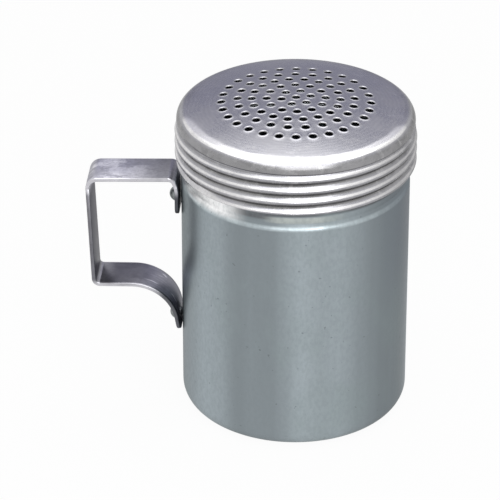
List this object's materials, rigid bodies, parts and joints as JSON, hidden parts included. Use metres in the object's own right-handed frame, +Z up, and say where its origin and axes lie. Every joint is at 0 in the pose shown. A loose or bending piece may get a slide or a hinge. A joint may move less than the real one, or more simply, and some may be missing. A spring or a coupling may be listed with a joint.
{
  "type": "restaurant spice shaker dispenser",
  "caption": "Handled aluminium shaker: round cup, screw-on domed lid pierced with small holes, bent strip handle riveted to one side.",
  "frame": {"origin": "centre of the cup's flat base, on the cup's axis", "axes": "+Z up along the cup's axis, -X towards the handle, +Y away from a viewer who sees the handle on the left"},
  "size_m": [0.0958, 0.0698, 0.0986],
  "materials": {
    "cup_sheet": "satin, faint vertical streaks",
    "lid_sheet": "satin, brighter on the ridges",
    "handle_strip": "satin, scuffed, bright edges",
    "rivet": "satin"
  },
  "bodies": {
    "cup_body": {"cup": "cup_sheet", "cup_base": "cup_sheet", "handle": "handle_strip", "rivet_upper": "rivet", "rivet_lower": "rivet"},
    "rim_body": {"cup_rim": "cup_sheet"},
    "lid_body": {"lid": "lid_sheet"}
  },
  "joints": [
    {"name": "lid_turn", "type": "hinge", "parent": "cup_body", "child": "rim_body", "pos_m": [0, 0, 0.09], "axis": [0, 0, 1], "range_deg": [0, 1800]},
    {"name": "lid_rise", "type": "slide", "parent": "rim_body", "child": "lid_body", "axis": [0, 0, 1], "range_m": [0, 0.0173]}
  ],
  "couplings": [
    {"joint": "lid_rise", "follows": "lid_turn", "m_per_rad": 0.00054909}
  ]
}
